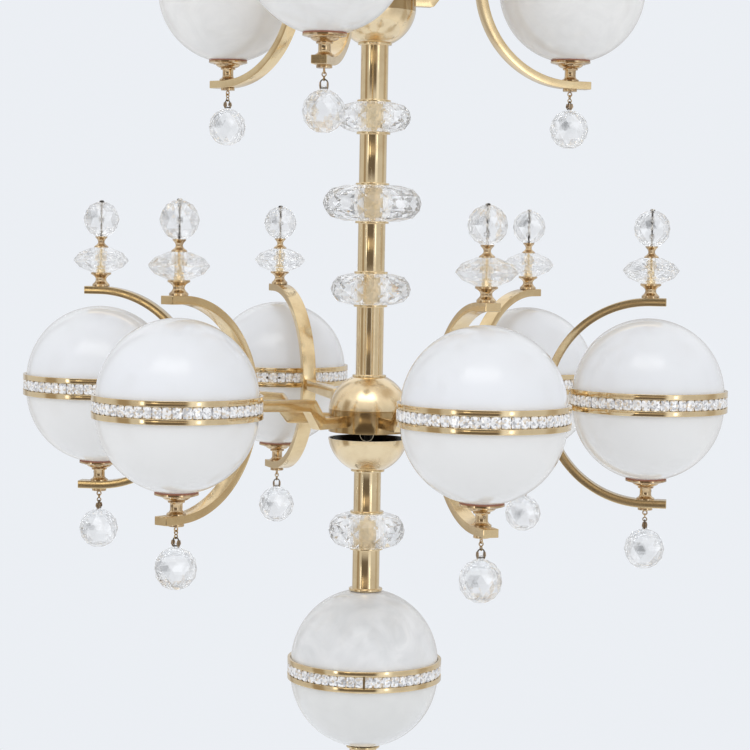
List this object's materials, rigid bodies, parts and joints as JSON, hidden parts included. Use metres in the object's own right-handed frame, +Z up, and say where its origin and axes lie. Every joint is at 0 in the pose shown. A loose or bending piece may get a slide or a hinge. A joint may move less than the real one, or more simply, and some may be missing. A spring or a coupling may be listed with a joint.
{
  "type": "chandelier",
  "caption": "Two-tier brass chandelier with white glass globes in bracket arms, cut-glass stem rings, finials and hanging cut-glass drops.",
  "frame": {"origin": "centre of the ceiling plate's upper face, on the stem's axis, at the ceiling", "axes": "+Z up along the stem; +X towards the first arm of the lower tier"},
  "size_m": [0.86, 0.77, 1.4093],
  "materials": {
    "polished_brass": "polished",
    "cut_crystal": "faceted, clear",
    "opal_glass": "gloss opal",
    "plated_steel": "zinc plated",
    "wire": "dark wire",
    "dark_pin": "darkened wire",
    "gasket_rubber": "matt",
    "holder_plastic": "matt",
    "lamp_glass": "frosted"
  },
  "bodies": {
    "frame": {"ceiling_plate": "plated_steel", "ceiling_canopy": "polished_brass", "threaded_rod": "plated_steel", "stem_nuts": "plated_steel", "stem_tubes": "polished_brass", "stem_crystals": "cut_crystal", "hub_domes": "polished_brass", "hub_drums": "polished_brass", "upper_hub_bowl": "polished_brass", "hub_wire": "wire", "globe_bands": "polished_brass", "band_crystals": "cut_crystal", "globe_cups": "polished_brass", "cup_gaskets": "gasket_rubber", "lamp_holders": "holder_plastic", "lamps": "lamp_glass", "finial_bases": "polished_brass", "finial_rondelles": "cut_crystal", "finial_collars": "polished_brass", "finial_balls": "cut_crystal", "finial_rods": "dark_pin", "eye_screws": "polished_brass", "set_screws": "plated_steel", "lower_tier_glass_tops": "opal_glass", "lower_tier_glass_bases": "opal_glass", "upper_tier_glass_tops": "opal_glass", "upper_tier_glass_bases": "opal_glass", "bottom_globe_glass_top": "opal_glass", "bottom_globe_glass_base": "opal_glass", "lower_arm_1": "polished_brass", "lower_arm_2": "polished_brass", "lower_arm_3": "polished_brass", "lower_arm_4": "polished_brass", "lower_arm_5": "polished_brass", "lower_arm_6": "polished_brass", "upper_arm_1": "polished_brass", "upper_arm_2": "polished_brass", "upper_arm_3": "polished_brass"},
    "lower_bowl": {"lower_hub_bowl": "polished_brass"},
    "hanger_1": {"drop_hanger_1": "dark_pin"},
    "ball_1": {"drop_ball_1": "cut_crystal"},
    "hanger_2": {"drop_hanger_2": "dark_pin"},
    "ball_2": {"drop_ball_2": "cut_crystal"},
    "hanger_3": {"drop_hanger_3": "dark_pin"},
    "ball_3": {"drop_ball_3": "cut_crystal"},
    "hanger_4": {"drop_hanger_4": "dark_pin"},
    "ball_4": {"drop_ball_4": "cut_crystal"},
    "hanger_5": {"drop_hanger_5": "dark_pin"},
    "ball_5": {"drop_ball_5": "cut_crystal"},
    "hanger_6": {"drop_hanger_6": "dark_pin"},
    "ball_6": {"drop_ball_6": "cut_crystal"},
    "hanger_7": {"drop_hanger_7": "dark_pin"},
    "ball_7": {"drop_ball_7": "cut_crystal"},
    "hanger_8": {"drop_hanger_8": "dark_pin"},
    "ball_8": {"drop_ball_8": "cut_crystal"},
    "hanger_9": {"drop_hanger_9": "dark_pin"},
    "ball_9": {"drop_ball_9": "cut_crystal"},
    "hanger_10": {"drop_hanger_10": "dark_pin"},
    "ball_10": {"drop_ball_10": "cut_crystal"}
  },
  "joints": [
    {"name": "lower_bowl_slide", "type": "slide", "parent": "frame", "child": "lower_bowl", "axis": [0, 0, 1], "range_m": [0, 0.0078]},
    {"name": "hanger_swing_1", "type": "hinge", "parent": "frame", "child": "hanger_1", "pos_m": [0.336, 0, -1.0189], "axis": [1, 0, 0], "range_deg": [-60, 60]},
    {"name": "ball_swing_1", "type": "hinge", "parent": "hanger_1", "child": "ball_1", "pos_m": [0.336, 0, -1.0345], "axis": [0, 1, 0], "range_deg": [-45, 45]},
    {"name": "hanger_swing_2", "type": "hinge", "parent": "frame", "child": "hanger_2", "pos_m": [0.168, 0.29098, -1.0189], "axis": [0.5, 0.866, 0], "range_deg": [-60, 60]},
    {"name": "ball_swing_2", "type": "hinge", "parent": "hanger_2", "child": "ball_2", "pos_m": [0.168, 0.29098, -1.0345], "axis": [-0.866, 0.5, 0], "range_deg": [-45, 45]},
    {"name": "hanger_swing_3", "type": "hinge", "parent": "frame", "child": "hanger_3", "pos_m": [-0.168, 0.29098, -1.0189], "axis": [-0.5, 0.866, 0], "range_deg": [-60, 60]},
    {"name": "ball_swing_3", "type": "hinge", "parent": "hanger_3", "child": "ball_3", "pos_m": [-0.168, 0.29098, -1.0345], "axis": [-0.866, -0.5, 0], "range_deg": [-45, 45]},
    {"name": "hanger_swing_4", "type": "hinge", "parent": "frame", "child": "hanger_4", "pos_m": [-0.336, 0, -1.0189], "axis": [-1, 0, 0], "range_deg": [-60, 60]},
    {"name": "ball_swing_4", "type": "hinge", "parent": "hanger_4", "child": "ball_4", "pos_m": [-0.336, 0, -1.0345], "axis": [0, -1, 0], "range_deg": [-45, 45]},
    {"name": "hanger_swing_5", "type": "hinge", "parent": "frame", "child": "hanger_5", "pos_m": [-0.168, -0.29098, -1.0189], "axis": [-0.5, -0.866, 0], "range_deg": [-60, 60]},
    {"name": "ball_swing_5", "type": "hinge", "parent": "hanger_5", "child": "ball_5", "pos_m": [-0.168, -0.29098, -1.0345], "axis": [0.866, -0.5, 0], "range_deg": [-45, 45]},
    {"name": "hanger_swing_6", "type": "hinge", "parent": "frame", "child": "hanger_6", "pos_m": [0.168, -0.29098, -1.0189], "axis": [0.5, -0.866, 0], "range_deg": [-60, 60]},
    {"name": "ball_swing_6", "type": "hinge", "parent": "hanger_6", "child": "ball_6", "pos_m": [0.168, -0.29098, -1.0345], "axis": [0.866, 0.5, 0], "range_deg": [-45, 45]},
    {"name": "hanger_swing_7", "type": "hinge", "parent": "frame", "child": "hanger_7", "pos_m": [0.22829, 0.11135, -0.516], "axis": [0.8988, 0.4384, 0], "range_deg": [-60, 60]},
    {"name": "ball_swing_7", "type": "hinge", "parent": "hanger_7", "child": "ball_7", "pos_m": [0.22829, 0.11135, -0.5316], "axis": [-0.4384, 0.8988, 0], "range_deg": [-45, 45]},
    {"name": "hanger_swing_8", "type": "hinge", "parent": "frame", "child": "hanger_8", "pos_m": [-0.21058, 0.14203, -0.516], "axis": [-0.829, 0.5592, 0], "range_deg": [-60, 60]},
    {"name": "ball_swing_8", "type": "hinge", "parent": "hanger_8", "child": "ball_8", "pos_m": [-0.21058, 0.14203, -0.5316], "axis": [-0.5592, -0.829, 0], "range_deg": [-45, 45]},
    {"name": "hanger_swing_9", "type": "hinge", "parent": "frame", "child": "hanger_9", "pos_m": [-0.01772, -0.25338, -0.516], "axis": [-0.0698, -0.9976, 0], "range_deg": [-60, 60]},
    {"name": "ball_swing_9", "type": "hinge", "parent": "hanger_9", "child": "ball_9", "pos_m": [-0.01772, -0.25338, -0.5316], "axis": [0.9976, -0.0698, 0], "range_deg": [-45, 45]},
    {"name": "hanger_swing_10", "type": "hinge", "parent": "frame", "child": "hanger_10", "pos_m": [0, 0, -1.34568], "axis": [1, 0, 0], "range_deg": [-60, 60]},
    {"name": "ball_swing_10", "type": "hinge", "parent": "hanger_10", "child": "ball_10", "pos_m": [0, 0, -1.36128], "axis": [0, 1, 0], "range_deg": [-45, 45]}
  ]
}
